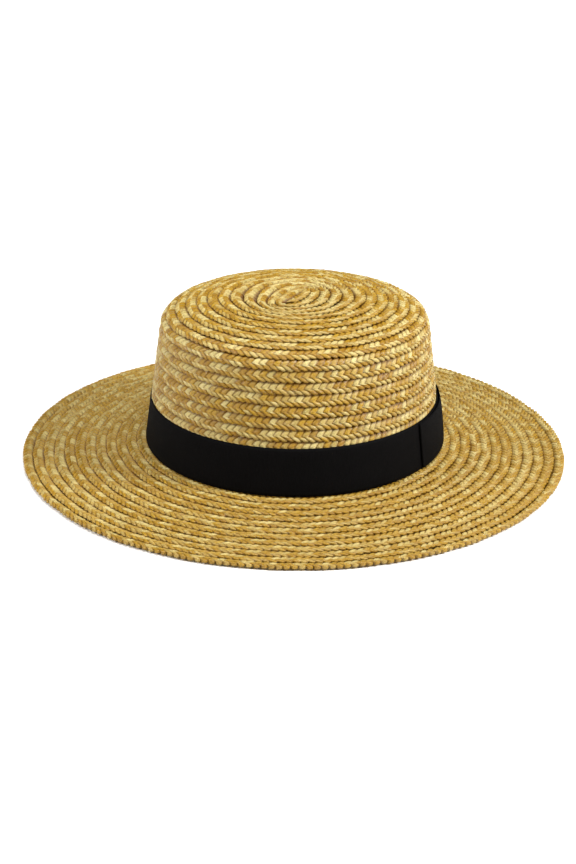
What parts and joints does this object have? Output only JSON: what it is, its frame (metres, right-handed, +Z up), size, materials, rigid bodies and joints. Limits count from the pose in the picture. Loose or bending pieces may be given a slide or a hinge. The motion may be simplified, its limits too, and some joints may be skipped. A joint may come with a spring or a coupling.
{
  "type": "straw boater hat",
  "caption": "Stiff straw hat with a flat-topped oval crown, a wide gently sloping brim and a black ribbon band with a flat folded end at one side.",
  "frame": {"origin": "on the surface that the hat stands on, under the middle of the brim", "axes": "+Z up through the crown; the front of the hat faces -Y and the wearer's left is +X, so the hat is longest along Y"},
  "size_m": [0.329, 0.344, 0.0985],
  "materials": {
    "crown_straw": "glossy natural straw plait, sewn in a spiral",
    "brim_straw": "glossy natural straw plait, sewn in a spiral",
    "ribbon": "matt black grosgrain"
  },
  "bodies": {
    "root": {"crown": "crown_straw", "brim": "brim_straw", "ribbon_band": "ribbon", "ribbon_tab": "ribbon"}
  },
  "joints": []
}
